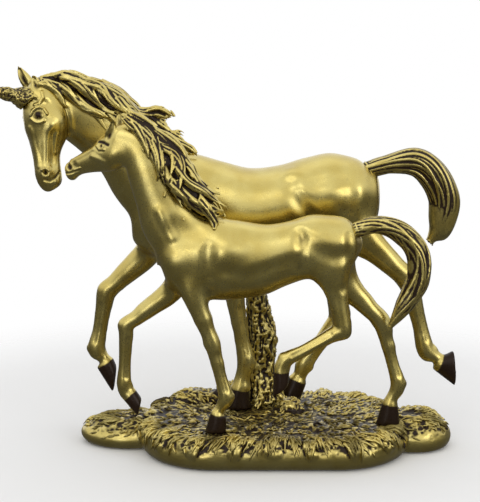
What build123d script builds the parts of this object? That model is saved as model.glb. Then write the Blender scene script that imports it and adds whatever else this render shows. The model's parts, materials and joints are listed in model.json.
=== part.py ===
from build123d import *
import math
import os

# A cold-cast resin group: a unicorn mare and her foal trotting over a rocky base.
# Millimetres, +Z up. Both animals face -X and show their left sides to -Y.
# The origin is the middle of the base, on the table.

# Base
felt_thickness = 1.0
felt_inset = 7.0
base_x = 7.0
base_length = 176.0
base_depth = 117.0
base_height = 19.0
base_corner_radius = 50.0
base_undercut = 4.0
base_shoulder = 6.0
boulder_sink = 4.0
tussock_spacing = 26.0
tussock_width = 6.5
tussock_thickness = 2.6
hoof_clearance = 16.0

# Tree trunk under the mare's belly
trunk_x = -1.0
trunk_offset = 3.0
trunk_radius = 9.0
root_reach = 20.0
root_radius = 4.5
root_count = 4
root_turn = -10.0

# Pins and dowels
fit_clearance = 0.1
hoof_pin_radius = 1.2
hoof_pin_depth = 7.0
trunk_pin_radius = 2.0
trunk_pin_depth = 10.0
trunk_pin_spacing = 9.0
neck_dowel_radius = 2.5
tail_dowel_radius = 1.5
horn_pin_radius = 1.0
horn_pin_length = 20.0
mare_dowel_radius = 2.0
mare_dowel_reach = 12.0
foal_dowel_radius = 1.5
foal_dowel_reach = 9.0

# Mare: her middle plane, the stance of her legs and the half depths down a leg
mare_y = 28.0
mare_stance = 12.5
mare_forearm = 10.5
mare_arm_middle = 8.4
mare_knee = 6.8
mare_thigh = 16.0
mare_gaskin = 9.6
mare_hock = 7.6
mare_cannon = 5.1
mare_fetlock = 6.2
mare_pastern = 5.3
mare_coronet = 6.6
mare_hoof_width = 7.2
mare_ear_width = 4.6
mare_lock_radius = 5.5
horn_length = 37.0
horn_radius = 5.2
horn_flare = 3.5
horn_turns = 1.5

# Foal
foal_y = -28.0
foal_stance = 8.0
foal_forearm = 8.5
foal_arm_middle = 6.4
foal_knee = 5.2
foal_thigh = 14.0
foal_gaskin = 7.4
foal_hock = 6.0
foal_cannon = 4.0
foal_fetlock = 4.9
foal_pastern = 4.2
foal_coronet = 5.2
foal_hoof_width = 5.8
foal_ear_width = 3.4
foal_lock_radius = 4.8

# Proportions that both animals share
leg_flatness = 0.88
forearm_flatness = 0.8
thigh_flatness = 0.55
lock_flatness = 0.75
ear_thickness = 0.62
rib_spacing = 6.0

ground = felt_thickness + base_height
trunk_y = mare_y + trunk_offset
side = Vector(0, 1, 0)
upward = Vector(0, 0, 1)


# Points and runs
def at(x, y, height):
    # A point at a height above the ground that the hooves stand on
    return Vector(x, y, ground + height)


def between(start, end, share):
    return start + (end - start) * share


def slopes(knots, values):
    # Slopes of a curve that never overshoots the values it passes through
    gaps = zip(knots, knots[1:], values, values[1:])
    rises = [(v1 - v0) / (k1 - k0) for k0, k1, v0, v1 in gaps]
    inner = [0 if a * b <= 0 else 2 * a * b / (a + b) for a, b in zip(rises, rises[1:])]
    return [rises[0], *inner, rises[-1]]


def even_run(stations):
    # Stations of (centre, half depth, half width), spaced evenly on one smooth run
    knots = [0]
    for (start, _, _), (end, _, _) in zip(stations, stations[1:]):
        knots.append(knots[-1] + (end - start).length)
    columns = list(zip(*[(*center, depth, width) for center, depth, width in stations]))
    leans = [slopes(knots, column) for column in columns]
    count = max(4, round(knots[-1] / rib_spacing))
    run = []
    for i in range(count + 1):
        place = knots[-1] * i / count
        k = max(j for j in range(len(knots) - 1) if knots[j] <= place)
        width = knots[k + 1] - knots[k]
        t = (place - knots[k]) / width
        x, y, z, depth, half_width = [
            (1 + 2 * t) * (1 - t) ** 2 * v[k]
            + t * (1 - t) ** 2 * width * s[k]
            + t * t * (3 - 2 * t) * v[k + 1]
            + t * t * (t - 1) * width * s[k + 1]
            for v, s in zip(columns, leans)
        ]
        run.append((Vector(x, y, z), depth, half_width))
    return run


# Cross-sections
def oval(center, along, across, half_depth, half_width):
    # An oval square to a limb's direction
    with BuildSketch(Plane(center, x_dir=across.cross(along), z_dir=along)) as section:
        Ellipse(half_depth, half_width)
    return section.sketch


def ribs(stations, across=side, facing=None):
    # Ovals along a run, each square to the run where it stands unless all face one way
    run = even_run(stations)
    sections = []
    for i, (center, half_depth, half_width) in enumerate(run):
        before = run[max(i - 1, 0)][0]
        after = run[min(i + 1, len(run) - 1)][0]
        along = facing or (after - before).normalized()
        sections.append(oval(center, along, across, half_depth, half_width))
    return sections


def barrel(rows, middle):
    # Upright ovals along a body: each row is x, top and bottom above the ground, half width
    stations = [(at(x, middle, (top + low) / 2), (top - low) / 2, wide) for x, top, low, wide in rows]
    return ribs(stations, facing=Vector(1, 0, 0))


def skull(rows, poll, along, across):
    # Ovals down a head: each row is distance from the poll, front, back, half width
    forward = along.cross(across)
    stations = []
    for reach, front, back, half_width in rows:
        center = poll + along * reach + forward * ((front - back) / 2)
        stations.append((center, (front + back) / 2, half_width))
    return ribs(stations, across)


def ear(base, tip, across, half_width):
    # A leaf, widest at two fifths of its height
    shape = [(0.0, 0.75), (0.4, 1.0), (0.75, 0.6)]
    stations = [(between(base, tip, s), half_width * w * ear_thickness, half_width * w) for s, w in shape]
    return [*ribs(stations, across), Vertex(*tip)]


def muscle(points, half_depth, half_width):
    # A swelling under the skin that sinks away at both ends
    swell = [0.45, 1.0, 0.45]
    return ribs([(p, half_depth * s, half_width * s) for p, s in zip(points, swell)])


def lock(points, radius):
    # A curl of hair that thins to its tip
    *body, tip = points
    thins = [1 - 0.55 * i / (len(body) - 1) for i in range(len(body))]
    stations = [(p, radius * s, radius * s * lock_flatness) for p, s in zip(body, thins)]
    return [*ribs(stations), Vertex(*tip)]


def shank(joints, upper, flatness, middle, bend, lower):
    # A leg from inside the body down to the top of its hoof
    root, elbow, knee, ankle, crown = joints[:5]
    cannon, fetlock, pastern, coronet = lower
    stations = [
        (root, upper),
        (elbow, upper),
        (between(elbow, knee, 0.5), middle),
        (between(elbow, knee, 0.85), bend * 0.96),
        (knee, bend),
        (between(knee, ankle, 0.2), (bend + cannon) / 2),
        (between(knee, ankle, 0.65), cannon),
        (ankle, fetlock),
        (between(ankle, crown, 0.5), pastern),
        (crown, coronet),
    ]
    flat = [flatness, flatness, (flatness + leg_flatness) / 2, *[leg_flatness] * 7]
    return ribs([(place, depth, depth * f) for (place, depth), f in zip(stations, flat)])


def sole(joints, half_width):
    # The underside of a hoof, from its toe to its heel
    crown, toe, heel = joints[4:]
    middle = (toe + heel) / 2
    facing = side.cross(toe - heel).normalized()
    outward = facing if facing.dot(middle - crown) > 0 else -facing
    return oval(middle, outward, side, (toe - heel).length / 2, half_width)


def slab(inset, height):
    # One level of the base, drawn in from its widest outline
    with BuildSketch(Plane((base_x, 0, height))) as outline:
        RectangleRounded(base_length - 2 * inset, base_depth - 2 * inset, base_corner_radius - inset)
    return outline.sketch


def stone(x, y, half_length, half_depth, bottom, top):
    # A rounded stone: a foot drawn in, a belly and a shrinking crown
    sections = []
    for share, spread in [(0.0, 0.9), (0.35, 1.0), (0.75, 0.8), (1.0, 0.45)]:
        with BuildSketch(Plane((x, y, bottom + (top - bottom) * share))) as ring:
            Ellipse(half_length * spread, half_depth * spread)
        sections.append(ring.sketch)
    return sections


def tussock(rows, foot, outward):
    # A clump of grass: each row is distance in from the rim, height above the ground, share of its full size
    *body, (inset, height, _) = rows
    stations = []
    for reach, rise, share in body:
        center = foot - outward * reach + upward * rise
        stations.append((center, tussock_thickness * share, tussock_width * share))
    return [*ribs(stations, outward.cross(upward)), Vertex(*(foot - outward * inset + upward * height))]


def pin(start, end, radius, slack=0.0):
    # A round pin between two points, or with slack the bore that takes it
    along = (end - start).normalized()
    with BuildPart() as rod:
        with BuildSketch(Plane(start - along * slack, z_dir=along)):
            Circle(radius + slack)
        extrude(amount=(end - start).length + 2 * slack)
    return rod.part


def drill(pins):
    # Bores for a list of pins, cut from the part being built
    for start, end, radius in pins:
        add(pin(start, end, radius, fit_clearance), mode=Mode.SUBTRACT)


def save(part, name):
    part.label = name
    export_step(part, f"parts/{name}.step")


def save_pins(pins, name):
    with BuildPart() as rods:
        for start, end, radius in pins:
            add(pin(start, end, radius))
    save(rods.part, name)


os.makedirs("parts", exist_ok=True)

# Joints of each leg: root, elbow or stifle, knee or hock, fetlock, coronet, toe, heel
near, far = mare_y - mare_stance, mare_y + mare_stance
mare_legs = {
    "mare_left_foreleg": [
        at(-51, near + 6, 122), at(-45, near, 103), at(-19.5, near, 79), at(-11.5, near, 30.5),
        at(-15.5, near, 14), at(-26, near, 0), at(-8, near, 0),
    ],
    "mare_right_foreleg": [
        at(-66, far - 4, 118), at(-79, far, 101), at(-107, far, 75), at(-114.5, far, 34),
        at(-109, far, 25), at(-103.5, far, 3), at(-101, far, 22),
    ],
    "mare_left_hind_leg": [
        at(50, near + 6, 146), at(58, near, 124), at(96, near, 88), at(109, near, 40),
        at(118, near, 32), at(129.3, near, 15), at(127.5, near, 40),
    ],
    "mare_right_hind_leg": [
        at(48, far - 6, 140), at(44, far, 120), at(53, far, 57), at(29, far, 24),
        at(24.5, far, 13), at(11, far, 0), at(27, far, 0),
    ],
}
near, far = foal_y - foal_stance, foal_y + foal_stance
foal_legs = {
    "foal_left_foreleg": [
        at(-50, near + 4, 110), at(-46.5, near, 94), at(-33, near, 58), at(-24.5, near, 22),
        at(-29, near, 12), at(-38, near, 0), at(-24, near, 0),
    ],
    "foal_right_foreleg": [
        at(-47, far - 6, 106), at(-59, far, 88), at(-88, far, 65.5), at(-90.3, far, 26),
        at(-87, far, 20), at(-81.5, far, 5), at(-79, far, 17),
    ],
    "foal_left_hind_leg": [
        at(40, near + 5, 122), at(41, near, 108), at(49, near, 67), at(12.5, near, 46),
        at(10.5, near, 40), at(5, near, 23), at(15, near, 31),
    ],
    "foal_right_hind_leg": [
        at(42, far - 5, 118), at(46, far, 98), at(75, far, 68), at(86, far, 26),
        at(81.5, far, 14), at(72, far, 0), at(88, far, 0),
    ],
}

# Pins as start, end and radius
standing_legs = [
    mare_legs["mare_left_foreleg"],
    mare_legs["mare_right_hind_leg"],
    foal_legs["foal_left_foreleg"],
    foal_legs["foal_right_hind_leg"],
]
hoof_pins = []
for joints in standing_legs:
    middle = (joints[5] + joints[6]) / 2
    hoof_pins.append((middle - upward * hoof_pin_depth, middle + upward * hoof_pin_depth, hoof_pin_radius))


def leg_dowels(legs, reach, radius):
    dowels = []
    for joints in legs.values():
        root, elbow, knee = joints[:3]
        dowels.append((root, elbow + (knee - elbow).normalized() * reach, radius))
    return dowels


mare_leg_dowels = leg_dowels(mare_legs, mare_dowel_reach, mare_dowel_radius)
foal_leg_dowels = leg_dowels(foal_legs, foal_dowel_reach, foal_dowel_radius)
mare_neck_dowel = [(at(-60, mare_y, 139), at(-88, mare_y - 2, 169), neck_dowel_radius)]
mare_tail_dowel = [(at(58, mare_y, 156), at(86, mare_y + 3, 163.5), tail_dowel_radius)]
foal_neck_dowel = [(at(-51, foal_y, 123), at(-67, foal_y, 151), neck_dowel_radius)]
foal_tail_dowel = [(at(46, foal_y, 124), at(69, foal_y, 131), tail_dowel_radius)]
trunk_foot = at(trunk_x, trunk_y, 0)
trunk_pins = []
for shift in (-trunk_pin_spacing / 2, trunk_pin_spacing / 2):
    foot = trunk_foot + Vector(shift, 0, 0)
    trunk_pins.append((foot - upward * trunk_pin_depth, foot + upward * trunk_pin_depth, trunk_pin_radius))

# Base: a broad slab with a lobe at each end, boulders and clumps of grass, one casting
lobes = [(-88, 9, 34, 25, felt_thickness, ground - 2), (98, 0, 26, 24, felt_thickness, ground + 2)]
boulders = [(-40, 38, 22, 11, 6), (-23, 37, 11, 9, 12), (18, 13, 10, 8, 8)]
rim_rows = [(15, -1.6, 0.5), (9, -0.8, 0.9), (3.5, -3.2, 1.0), (0.8, -8.5, 0.8), (0.3, -13, 0)]
field_rows = [(40, -1.8, 0.5), (34, -1.0, 1.0), (28, -1.4, 0.8), (23, -3.0, 0)]


def tussocks(rows):
    # Clumps spaced evenly round the base that point away from its middle and leave the hooves free
    rim = slab(rows[-1][0], ground).wire()
    hub = Vector(base_x, 0, ground)
    count = round(rim.length / tussock_spacing)
    hooves = [(joints[5] + joints[6]) / 2 for joints in standing_legs]
    clumps = []
    for i in range(count):
        spot = rim.position_at(i / count)
        outward = (spot - hub).normalized()
        middle = spot - outward * (rows[0][0] - rows[-1][0]) / 2
        if min((middle - hoof).length for hoof in hooves) > hoof_clearance:
            clumps.append(tussock(rows, spot + outward * rows[-1][0], outward))
    return clumps


with BuildPart() as base_form:
    levels = [(base_undercut, 0.0), (0, 0.35), (base_undercut / 2, 0.8), (base_shoulder, 1.0)]
    loft(sections=[slab(inset, felt_thickness + base_height * share) for inset, share in levels])
    for lobe in lobes:
        loft(sections=stone(*lobe))
    for x, y, half_length, half_depth, height in boulders:
        loft(sections=stone(x, y, half_length, half_depth, ground - boulder_sink, ground + height))
    for clump in tussocks(rim_rows) + tussocks(field_rows):
        loft(sections=clump)

with BuildPart() as rock_base:
    add(base_form.part)
    drill(hoof_pins + trunk_pins)

with BuildPart() as base_felt:
    with BuildSketch():
        add(slab(felt_inset, 0))
    extrude(amount=felt_thickness)

# Mare's body
mare_rows = [
    (-87, 132, 118, 6),
    (-82, 147, 106, 13),
    (-69, 163, 101, 20),
    (-49, 171, 100, 24),
    (-29, 166, 103, 26),
    (-9, 161, 106, 27),
    (11, 163, 110, 27),
    (28, 168, 114, 26),
    (44, 171, 114, 25.5),
    (60, 168, 115, 23),
    (71, 160, 123, 16),
    (77, 149, 134, 7),
]
# Shoulder blade and hip on each flank: points as x, shift from the middle plane, height; half depth and width
mare_muscles = [
    ([(-40, 11, 154), (-51, 18, 139), (-64, 13, 121)], 11, 8),
    ([(10, 14, 150), (24, 18.5, 150), (40, 15, 146)], 9, 8),
]
with BuildPart() as mare_body:
    loft(sections=barrel(mare_rows, mare_y))
    for bulge, half_depth, half_width in mare_muscles:
        for flank in (-1, 1):
            points = [at(x, mare_y + flank * shift, height) for x, shift, height in bulge]
            loft(sections=muscle(points, half_depth, half_width))

# Mare's neck, head and ears: the head hangs a little past upright and looks towards the foal
mare_neck_line = [
    (at(-56, mare_y, 139), 30, 17),
    (at(-75, mare_y - 1, 155), 28, 16.5),
    (at(-93.5, mare_y - 3, 175), 21.5, 14),
    (at(-112, mare_y - 6, 190), 18.5, 12.5),
    (at(-127, mare_y - 10, 200), 17, 11),
    (at(-138, mare_y - 14, 206), 13.5, 9.5),
]
mare_poll = at(-146, mare_y - 19, 217)
mare_face = Vector(0.10, -0.13, -0.986).normalized()
mare_cheek = Vector(0.47, -0.88, 0.149).normalized()
mare_brow = mare_face.cross(mare_cheek)
mare_skull = [
    (-3, 3, 5, 5),
    (4, 8, 12, 9),
    (14, 11, 16, 11.5),
    (24, 11, 18.5, 12),
    (33, 9.5, 17, 10.5),
    (43, 7.5, 11.5, 8),
    (53, 7, 10.3, 7),
    (60, 6.8, 10.8, 7.5),
    (64.5, 3, 10.6, 6),
    (67.5, -2, 8.5, 3.5),
]
mare_ears = [
    (at(-150, mare_y - 13, 213), at(-159.5, mare_y - 12, 229)),
    (at(-141, mare_y - 24, 209), at(-148, mare_y - 25, 224)),
]
mare_ear_facing = Vector(0.8, -0.35, 0.5).normalized()
with BuildPart() as mare_neck_form:
    loft(sections=ribs(mare_neck_line))
    loft(sections=skull(mare_skull, mare_poll, mare_face, mare_cheek))
    for ear_base, ear_tip in mare_ears:
        loft(sections=ear(ear_base, ear_tip, mare_ear_facing, mare_ear_width))
    add(mare_body.part, mode=Mode.SUBTRACT)

# Horn: an oval that turns as it tapers, flared at its root and pinned into the forehead
horn_line = (mare_brow + upward * 0.3).normalized()
horn_root = mare_poll + mare_face * 10 + mare_brow * 5
horn_pin_start = horn_root - horn_line * (horn_pin_length / 3)
horn_pin = [(horn_pin_start, horn_pin_start + horn_line * horn_pin_length, horn_pin_radius)]
horn_rings = 13


def horn_ring(share):
    turned = upward.rotate(Axis((0, 0, 0), tuple(horn_line)), 360 * horn_turns * share)
    radius = horn_radius * (1 - 0.87 * share) + horn_flare * (1 - share) ** 1.5
    return oval(horn_root + horn_line * (horn_length * share), horn_line, turned, radius, radius * 0.8)


with BuildPart() as mare_horn:
    loft(sections=[horn_ring(step / (horn_rings - 1)) for step in range(horn_rings)])
    add(mare_neck_form.part, mode=Mode.SUBTRACT)
    drill(horn_pin)

with BuildPart() as mare_neck:
    add(mare_neck_form.part)
    drill(mare_neck_dowel + horn_pin)

# Mare's mane: a ridge along the crest with curls that lift off it and locks down the near side.
# A curl's points are x, shift from the middle plane and height above the ground.
mare_mane_line = [
    (at(-136, mare_y - 15, 216), 5, 6),
    (at(-121, mare_y - 12, 216), 6.5, 9),
    (at(-105, mare_y - 10, 209), 8, 11),
    (at(-90, mare_y - 7, 195), 9, 12),
    (at(-74, mare_y - 3, 182), 8, 10.5),
    (at(-58, mare_y, 173), 6, 8),
    (at(-46, mare_y, 168), 3, 4),
]
mare_locks = [
    [(-118, -12, 216), (-126, -15, 221), (-133, -17, 223), (-139, -18, 221)],
    [(-114, -11, 212), (-101, -8, 212), (-91, -7, 204), (-81, -6, 196)],
    [(-92, -6, 199), (-80, -5, 199), (-69, -4, 201), (-58.5, -4, 195)],
    [(-82, -4, 186), (-70, -3, 184), (-60, -2, 180), (-46, -1, 171)],
    [(-120, -17, 208), (-110, -19, 200), (-103, -20, 190), (-98, -19, 180)],
    [(-106, -15, 203), (-96, -17, 194), (-88, -18, 184), (-84, -17, 172)],
    [(-92, -13, 194), (-82, -15, 184), (-74, -17, 172), (-70, -17, 162)],
]
with BuildPart() as mare_mane:
    loft(sections=ribs(mare_mane_line))
    for curl in mare_locks:
        points = [at(x, mare_y + shift, height) for x, shift, height in curl]
        loft(sections=lock(points, mare_lock_radius))
    add(mare_neck_form.part, mode=Mode.SUBTRACT)
    add(mare_body.part, mode=Mode.SUBTRACT)

mare_tail_line = [
    (at(66, mare_y + 1, 159), 5, 5),
    (at(87, mare_y + 3, 164), 5.5, 6),
    (at(103, mare_y + 4, 164), 10, 8),
    (at(115, mare_y + 5, 153), 11.5, 9),
    (at(121.5, mare_y + 6, 137), 12, 9),
    (at(119.5, mare_y + 6, 121), 10, 8),
    (at(112, mare_y + 5, 109), 4, 4),
]
with BuildPart() as mare_tail:
    loft(sections=ribs(mare_tail_line))
    add(mare_body.part, mode=Mode.SUBTRACT)
    drill(mare_tail_dowel)

mare_lower = (mare_cannon, mare_fetlock, mare_pastern, mare_coronet)
mare_fore = (mare_forearm, forearm_flatness, mare_arm_middle, mare_knee)
mare_hind = (mare_thigh, thigh_flatness, mare_gaskin, mare_hock)
for name, joints in mare_legs.items():
    with BuildPart() as mare_leg:
        shin = shank(joints, *(mare_fore if "fore" in name else mare_hind), mare_lower)
        loft(sections=shin)
        loft(sections=[shin[-1], sole(joints, mare_hoof_width)], ruled=True)
        add(mare_body.part, mode=Mode.SUBTRACT)
        drill(mare_leg_dowels + hoof_pins)
    save(mare_leg.part, name)

# Tree trunk with spreading roots: each row is shift along x, height, breadth and depth of the bole
trunk_rows = [(1, 0, 1.3, 1.3), (0, 9, 1.12, 1.1), (-1, 25, 1.05, 0.95), (1, 42, 1.1, 1.0),
              (-2, 60, 0.9, 0.9), (-4, 80, 0.85, 0.9), (-5, 118, 1.0, 1.0)]
trunk_line = []
for shift, height, breadth, depth in trunk_rows:
    trunk_line.append((at(trunk_x + shift, trunk_y, height), trunk_radius * breadth, trunk_radius * depth))
trunk_top = trunk_line[-1][0]
belly_pin_start = trunk_top - upward * (2 * trunk_pin_depth)
belly_pin = [(belly_pin_start, trunk_top + upward * (trunk_pin_depth / 2), trunk_pin_radius)]


def root(angle):
    # A root that leaves the bole low down and dives into the ground
    outward = Vector(math.cos(angle), math.sin(angle), 0)
    drops = [(0.2, 16), (0.5, 8), (0.8, 2), (1.0, -3)]
    points = [trunk_foot + outward * (root_reach * share) + upward * height for share, height in drops]
    return lock(points, root_radius)


with BuildPart() as tree_trunk:
    loft(sections=ribs(trunk_line))
    for i in range(root_count):
        loft(sections=root(math.radians(root_turn + 360 * i / root_count)))
    add(mare_body.part, mode=Mode.SUBTRACT)
    add(base_form.part, mode=Mode.SUBTRACT)
    drill(trunk_pins + belly_pin)

with BuildPart() as mare_torso:
    add(mare_body.part)
    drill(mare_leg_dowels + mare_neck_dowel + mare_tail_dowel + belly_pin)

# Foal's body
foal_rows = [
    (-68, 122, 104, 6),
    (-64, 132, 98, 10),
    (-56, 138, 89, 13),
    (-40, 139, 84.5, 15.5),
    (-22, 135, 84, 17),
    (-3, 132, 86.5, 17),
    (16, 134, 94, 16),
    (31, 138, 98.5, 16.5),
    (47, 137, 100, 15.5),
    (56, 131, 107, 11),
    (61, 125, 115, 5),
]
with BuildPart() as foal_body:
    loft(sections=barrel(foal_rows, foal_y))

with BuildPart() as foal_torso:
    add(foal_body.part)
    drill(foal_leg_dowels + foal_neck_dowel + foal_tail_dowel)

# Foal's neck, head and ears: the muzzle reaches forward to the mare's lips
foal_neck_line = [
    (at(-45, foal_y, 118), 19, 12),
    (at(-58, foal_y, 132), 19.5, 11.5),
    (at(-66.5, foal_y, 149.5), 15, 9.5),
    (at(-73, foal_y + 0.5, 167), 13, 8.5),
    (at(-79, foal_y + 1, 181), 11, 7.5),
    (at(-84, foal_y + 2, 189), 8, 6),
]
foal_poll = at(-84, foal_y + 2, 189)
foal_face = Vector(-0.84, 0.31, -0.45).normalized()
foal_cheek = Vector(-0.34, -0.94, 0.0).normalized()
foal_skull = [
    (-4, 3, 5, 4),
    (2, 7, 9.5, 7),
    (10, 6.8, 16, 8.5),
    (17, 5.8, 17.5, 8.5),
    (23, 4, 16, 8),
    (29, 3, 13.5, 6.8),
    (36, 2.4, 11, 5.8),
    (42, 1.8, 9.8, 5.2),
    (47, 0.8, 9.8, 4.8),
    (50, -1.2, 8, 3.4),
    (51.2, -2.8, 5.8, 1.5),
]
foal_ears = [
    (at(-89, foal_y + 6, 189), at(-90.6, foal_y + 7, 202)),
    (at(-97, foal_y + 2, 183), at(-92.8, foal_y - 2, 197.6)),
]
foal_ear_facing = Vector(0.95, -0.25, 0.2).normalized()
with BuildPart() as foal_neck_form:
    loft(sections=ribs(foal_neck_line))
    loft(sections=skull(foal_skull, foal_poll, foal_face, foal_cheek))
    for ear_base, ear_tip in foal_ears:
        loft(sections=ear(ear_base, ear_tip, foal_ear_facing, foal_ear_width))
    add(foal_body.part, mode=Mode.SUBTRACT)

with BuildPart() as foal_neck:
    add(foal_neck_form.part)
    drill(foal_neck_dowel)

foal_mane_line = [
    (at(-83, foal_y + 1, 194), 5, 5),
    (at(-73, foal_y, 184), 6.5, 7.5),
    (at(-62, foal_y - 1, 171), 8.5, 9),
    (at(-52, foal_y - 2, 158), 9.5, 9),
    (at(-40, foal_y - 2, 145), 8, 8),
    (at(-29, foal_y - 2, 135), 3.5, 4),
]
foal_locks = [
    [(-55, -2, 162), (-44, -3, 160), (-36, -3, 157), (-28, -3, 155)],
    [(-48, -3, 150), (-38, -4, 146), (-30, -5, 141), (-24, -5, 137)],
    [(-74, -5, 182), (-67, -9, 172), (-63, -11, 162), (-62, -12, 150)],
    [(-64, -8, 170), (-57, -12, 158), (-52, -14, 147), (-50, -15, 136)],
    [(-84, 0, 194), (-77, 0, 194), (-70, 0, 189), (-64, 0, 182)],
]
with BuildPart() as foal_mane:
    loft(sections=ribs(foal_mane_line))
    for curl in foal_locks:
        points = [at(x, foal_y + shift, height) for x, shift, height in curl]
        loft(sections=lock(points, foal_lock_radius))
    add(foal_neck_form.part, mode=Mode.SUBTRACT)
    add(foal_body.part, mode=Mode.SUBTRACT)

foal_tail_line = [
    (at(53, foal_y, 127), 4.5, 4.5),
    (at(70, foal_y, 131.5), 5, 5.5),
    (at(84, foal_y - 1, 127.5), 7, 7),
    (at(95, foal_y - 2, 115), 8, 7.5),
    (at(96, foal_y - 3, 99), 8.5, 7.5),
    (at(88, foal_y - 4, 82), 7, 6.5),
    (at(78, foal_y - 5, 66), 2.5, 2.5),
]
with BuildPart() as foal_tail:
    loft(sections=ribs(foal_tail_line))
    add(foal_body.part, mode=Mode.SUBTRACT)
    drill(foal_tail_dowel)

foal_lower = (foal_cannon, foal_fetlock, foal_pastern, foal_coronet)
foal_fore = (foal_forearm, forearm_flatness, foal_arm_middle, foal_knee)
foal_hind = (foal_thigh, thigh_flatness, foal_gaskin, foal_hock)
for name, joints in foal_legs.items():
    with BuildPart() as foal_leg:
        shin = shank(joints, *(foal_fore if "fore" in name else foal_hind), foal_lower)
        loft(sections=shin)
        loft(sections=[shin[-1], sole(joints, foal_hoof_width)], ruled=True)
        add(foal_body.part, mode=Mode.SUBTRACT)
        drill(foal_leg_dowels + hoof_pins)
    save(foal_leg.part, name)

castings = {
    "rock_base": rock_base,
    "base_felt": base_felt,
    "tree_trunk": tree_trunk,
    "mare_torso": mare_torso,
    "mare_neck": mare_neck,
    "mare_horn": mare_horn,
    "mare_mane": mare_mane,
    "mare_tail": mare_tail,
    "foal_torso": foal_torso,
    "foal_neck": foal_neck,
    "foal_mane": foal_mane,
    "foal_tail": foal_tail,
}
for name, casting in castings.items():
    save(casting.part, name)

pin_sets = {
    "hoof_pins": hoof_pins,
    "trunk_pins": trunk_pins,
    "belly_pin": belly_pin,
    "horn_pin": horn_pin,
    "mare_leg_dowels": mare_leg_dowels,
    "mare_neck_dowel": mare_neck_dowel,
    "mare_tail_dowel": mare_tail_dowel,
    "foal_leg_dowels": foal_leg_dowels,
    "foal_neck_dowel": foal_neck_dowel,
    "foal_tail_dowel": foal_tail_dowel,
}
for name, pins in pin_sets.items():
    save_pins(pins, name)
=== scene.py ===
import json
import math
import bpy
import numpy as np
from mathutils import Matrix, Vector
from mathutils.bvhtree import BVHTree

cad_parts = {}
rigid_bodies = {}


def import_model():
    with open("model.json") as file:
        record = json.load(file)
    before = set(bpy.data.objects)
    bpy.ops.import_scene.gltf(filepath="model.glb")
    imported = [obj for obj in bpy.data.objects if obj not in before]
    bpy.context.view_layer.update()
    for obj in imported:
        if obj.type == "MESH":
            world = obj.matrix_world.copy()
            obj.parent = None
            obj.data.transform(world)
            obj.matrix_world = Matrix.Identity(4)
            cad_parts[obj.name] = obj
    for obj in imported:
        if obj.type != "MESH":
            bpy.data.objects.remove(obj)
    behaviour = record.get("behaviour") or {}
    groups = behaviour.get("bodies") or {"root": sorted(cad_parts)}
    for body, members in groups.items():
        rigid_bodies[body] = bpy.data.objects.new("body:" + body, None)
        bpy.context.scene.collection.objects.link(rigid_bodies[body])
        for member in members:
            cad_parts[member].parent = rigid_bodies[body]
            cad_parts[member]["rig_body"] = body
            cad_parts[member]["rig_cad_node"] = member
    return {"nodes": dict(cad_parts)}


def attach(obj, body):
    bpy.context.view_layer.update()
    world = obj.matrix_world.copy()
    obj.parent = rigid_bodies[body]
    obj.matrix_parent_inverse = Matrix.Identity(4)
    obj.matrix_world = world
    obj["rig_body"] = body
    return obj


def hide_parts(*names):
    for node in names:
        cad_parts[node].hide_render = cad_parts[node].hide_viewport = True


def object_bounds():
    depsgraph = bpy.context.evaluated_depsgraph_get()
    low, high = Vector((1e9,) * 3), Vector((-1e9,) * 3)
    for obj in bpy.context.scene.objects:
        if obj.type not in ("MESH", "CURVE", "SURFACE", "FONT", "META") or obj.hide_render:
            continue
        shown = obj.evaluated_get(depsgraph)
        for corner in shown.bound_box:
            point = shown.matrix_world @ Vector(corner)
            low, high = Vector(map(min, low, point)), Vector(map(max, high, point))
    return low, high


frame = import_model()
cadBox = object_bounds()
print("frame loaded")

# All lengths below are millimetres, as in the CAD; meshes are stored in metres.
mm = 0.001
photoView = {
    "place": (-15.6, -800.0, 270.0),
    "pitch": 9.92,
    "focus": 1254.0,
    "middle": (240.0, 251.0),
    "wide": 480.0,
}


# Reading and writing meshes
def readMesh(obj):
    count = len(obj.data.vertices)
    co = np.empty(count * 3, np.float32)
    normal = np.empty(count * 3, np.float32)
    obj.data.vertices.foreach_get("co", co)
    obj.data.vertices.foreach_get("normal", normal)
    return co.reshape(-1, 3).astype(float) / mm, normal.reshape(-1, 3).astype(float)


def writeMesh(obj, co):
    obj.data.vertices.foreach_set("co", (co * mm).astype(np.float32).ravel())
    obj.data.update()


def readEdges(obj):
    edges = np.empty(len(obj.data.edges) * 2, np.int32)
    obj.data.edges.foreach_get("vertices", edges)
    return edges.reshape(-1, 2)


def relax(co, edges, times, weight=0.5):
    # pulls each vertex towards the middle of its neighbours
    count = len(co)
    shares = np.maximum(np.bincount(edges.ravel(), minlength=count), 1)
    for _ in range(times):
        middle = np.empty_like(co)
        for k in range(3):
            middle[:, k] = np.bincount(edges[:, 0], co[edges[:, 1], k], count)
            middle[:, k] += np.bincount(edges[:, 1], co[edges[:, 0], k], count)
        middle /= shares[:, None]
        co = co + (middle - co) * weight
    return co


def hollows(obj, times):
    # how far each vertex lies under its smoothed surroundings
    co, normal = readMesh(obj)
    return ((relax(co, readEdges(obj), times) - co) * normal).sum(1)


def storeValue(obj, name, values):
    layer = obj.data.attributes.new(name, "FLOAT", "POINT")
    layer.data.foreach_set("value", np.clip(values, 0, 1).astype(np.float32))


def grain(points, size, seed=0):
    # smooth noise from -1 to 1, one value a point
    spot = points / size + seed * 17.31
    cell = np.floor(spot).astype(np.int64)
    part = spot - cell
    part = part * part * (3 - 2 * part)
    total = np.zeros(len(points))
    for corner in range(8):
        step = np.array([corner & 1, corner >> 1 & 1, corner >> 2 & 1])
        key = (cell + step) @ np.array([374761393, 668265263, 2246822519])
        key = (key ^ (key >> 13)) * 1274126177
        key = key ^ (key >> 16)
        share = np.where(step, part, 1 - part).prod(1)
        total += share * ((key & 65535) / 32767.5 - 1)
    return total


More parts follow.
